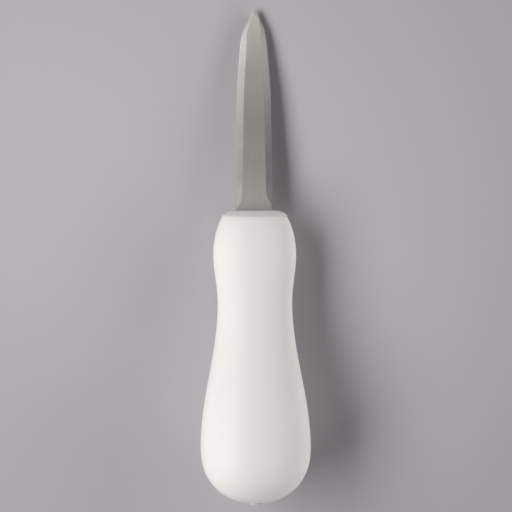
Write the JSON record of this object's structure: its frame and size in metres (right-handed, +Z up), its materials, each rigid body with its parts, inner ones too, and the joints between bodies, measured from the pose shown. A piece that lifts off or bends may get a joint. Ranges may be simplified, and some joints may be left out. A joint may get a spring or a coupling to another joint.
{
  "type": "oyster knife",
  "caption": "Oyster knife with a short blunt double-bevelled spear-point steel blade and a smooth white pear-shaped moulded handle.",
  "frame": {"origin": "on the table, under the middle of the knife's footprint as it lies at rest on the underside of its handle's head and butt", "axes": "+Y runs from butt to tip along the table, +X is to the right seen from above with the tip forward, +Z is up; the knife's own axis dips towards the tip by about 7 degrees"},
  "size_m": [0.042, 0.1872, 0.0398],
  "materials": {
    "blade_steel": "satin ground",
    "core_plastic": "fine matt",
    "shell_plastic": "fine matt",
    "plug_plastic": "fine matt"
  },
  "bodies": {
    "root": {"blade": "blade_steel", "handle_core": "core_plastic", "handle_shell": "shell_plastic", "butt_plug": "plug_plastic"}
  },
  "joints": []
}
